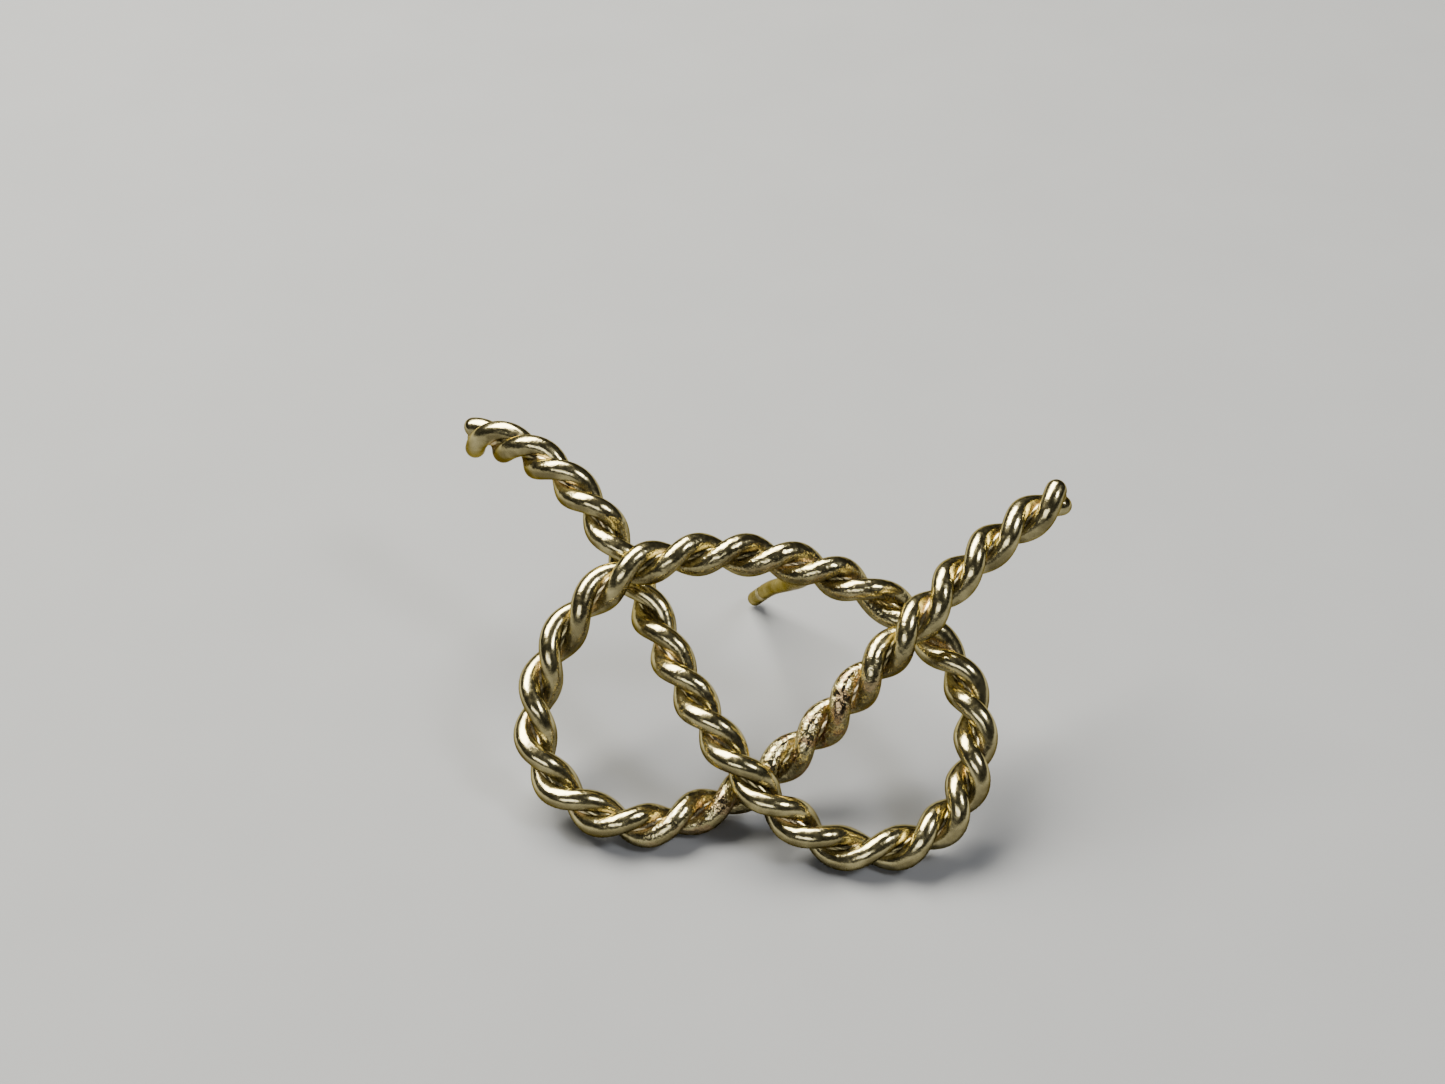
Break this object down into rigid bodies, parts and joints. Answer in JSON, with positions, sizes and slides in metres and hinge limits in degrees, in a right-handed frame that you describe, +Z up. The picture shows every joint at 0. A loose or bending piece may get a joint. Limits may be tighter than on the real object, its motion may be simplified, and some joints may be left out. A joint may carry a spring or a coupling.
{
  "type": "knot stud earring",
  "caption": "Stud earring: rope of twisted wire bent into an open overhand knot whose free ends stand up, on a bent ear post soldered behind its top bar.",
  "frame": {"origin": "on the surface that the earring stands on, under the centre of its bounding box", "axes": "+X across the knot from the left free end to the right free end, +Y from the lobes towards the ear post's tip, +Z up; the front of the knot faces -Y and up"},
  "size_m": [0.031, 0.0198, 0.0132],
  "materials": {
    "rope_wire": "polished pale yellow gold tone, olive and brown tarnish in the grooves",
    "post_wire": "polished pale yellow gold tone, faint drawing lines",
    "solder": "satin, warm reddish heat tint"
  },
  "bodies": {
    "root": {"strand_a": "rope_wire", "strand_b": "rope_wire", "ear_post": "post_wire", "post_solder": "solder", "left_crossing_solder": "solder", "centre_crossing_solder": "solder", "right_crossing_solder": "solder"}
  },
  "joints": []
}
